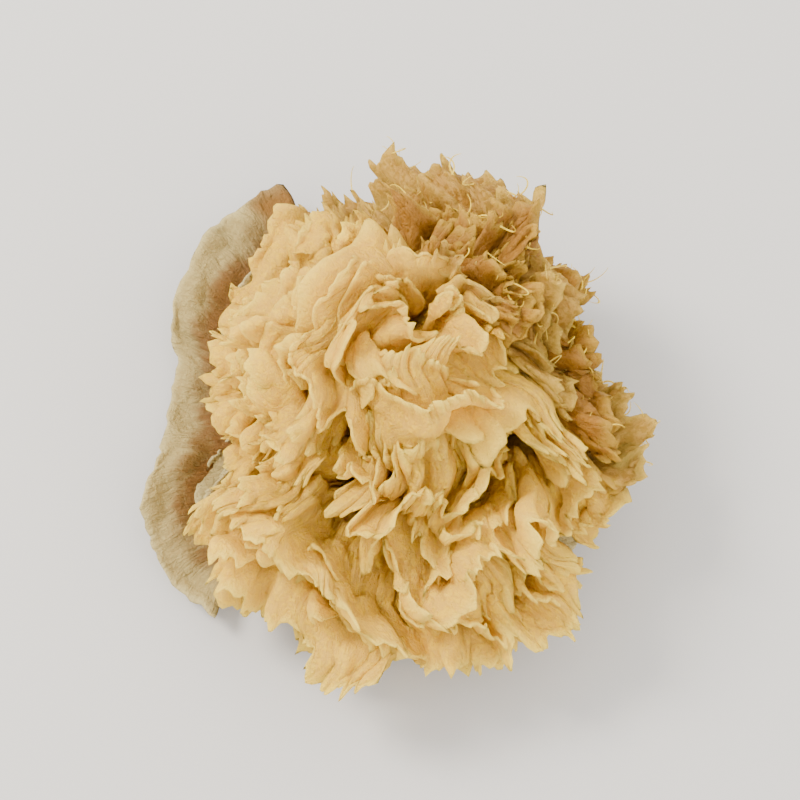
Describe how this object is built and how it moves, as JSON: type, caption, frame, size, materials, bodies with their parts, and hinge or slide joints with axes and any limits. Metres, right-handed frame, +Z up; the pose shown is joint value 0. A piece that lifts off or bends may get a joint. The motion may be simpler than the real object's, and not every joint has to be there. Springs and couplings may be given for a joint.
{
  "type": "dried snow fungus",
  "caption": "Dried snow fungus head: thin ruffled, tooth-edged fronds that open in whorls from a trimmed base.",
  "frame": {"origin": "middle of the flat cut face under the base", "axes": "+Z up, out of the cut face through the head; +Y towards the picture's top, +X towards its right"},
  "size_m": [0.059, 0.0679, 0.0354],
  "materials": {
    "dried_base": "dull, fibrous, amber brown",
    "dried_heart": "satin, translucent, deep amber",
    "dried_frond": "satin, translucent, creamy yellow",
    "dried_skirt": "satin, translucent, tan"
  },
  "bodies": {
    "root": {"base": "dried_base", "heart_frond_1": "dried_heart", "heart_frond_2": "dried_heart", "inner_frond_1": "dried_frond", "inner_frond_2": "dried_frond", "inner_frond_3": "dried_frond", "middle_frond_1": "dried_frond", "middle_frond_2": "dried_frond", "middle_frond_3": "dried_frond", "middle_frond_4": "dried_frond", "outer_frond_1": "dried_frond", "outer_frond_2": "dried_frond", "outer_frond_3": "dried_frond", "outer_frond_4": "dried_frond", "outer_frond_5": "dried_frond", "lower_frond_1": "dried_frond", "lower_frond_2": "dried_frond", "lower_frond_3": "dried_frond", "lower_frond_4": "dried_frond", "lower_frond_5": "dried_frond", "lower_frond_6": "dried_frond", "skirt_lobe_1": "dried_skirt", "skirt_lobe_2": "dried_skirt", "skirt_lobe_3": "dried_skirt", "skirt_lobe_4": "dried_skirt"}
  },
  "joints": []
}
